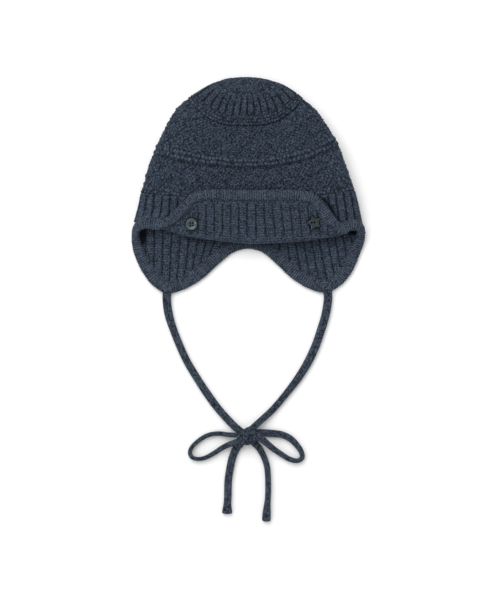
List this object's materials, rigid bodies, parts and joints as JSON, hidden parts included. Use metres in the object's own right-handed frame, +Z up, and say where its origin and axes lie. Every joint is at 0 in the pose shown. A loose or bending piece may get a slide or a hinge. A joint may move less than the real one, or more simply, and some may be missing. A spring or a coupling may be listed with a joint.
{
  "type": "knitted earflap bonnet",
  "caption": "Knitted baby bonnet with a turned-up buttoned front flap, bound ear flaps, and two ties knotted in a bow, lying flat.",
  "frame": {"origin": "on the surface that the bonnet lies on, below the middle of the bonnet's own box, measured without its ties and bow", "axes": "+X across the bonnet, to the right as it is seen from above; +Y from the ear flaps to the crown; +Z up from the surface"},
  "size_m": [0.2108, 0.4012, 0.0275],
  "materials": {
    "knit": "matt navy melange wool knit",
    "binding": "matt navy melange knitted band",
    "tie": "matt fine navy knitted tube",
    "button": "polished, slightly translucent grey-green"
  },
  "bodies": {
    "root": {"crown_top": "knit", "crown_body": "knit", "rib_band": "knit", "front_flap": "knit", "ear_flap_left": "knit", "ear_flap_right": "knit", "rim_binding": "binding", "round_button": "button", "star_button": "button", "tie_tab_left": "tie", "tie_tab_right": "tie", "tie_strand_left": "tie", "tie_strand_right": "tie", "bow_knot": "tie", "bow_loop_left": "tie", "bow_loop_right": "tie", "tie_tail_left": "tie", "tie_tail_right": "tie"}
  },
  "joints": []
}
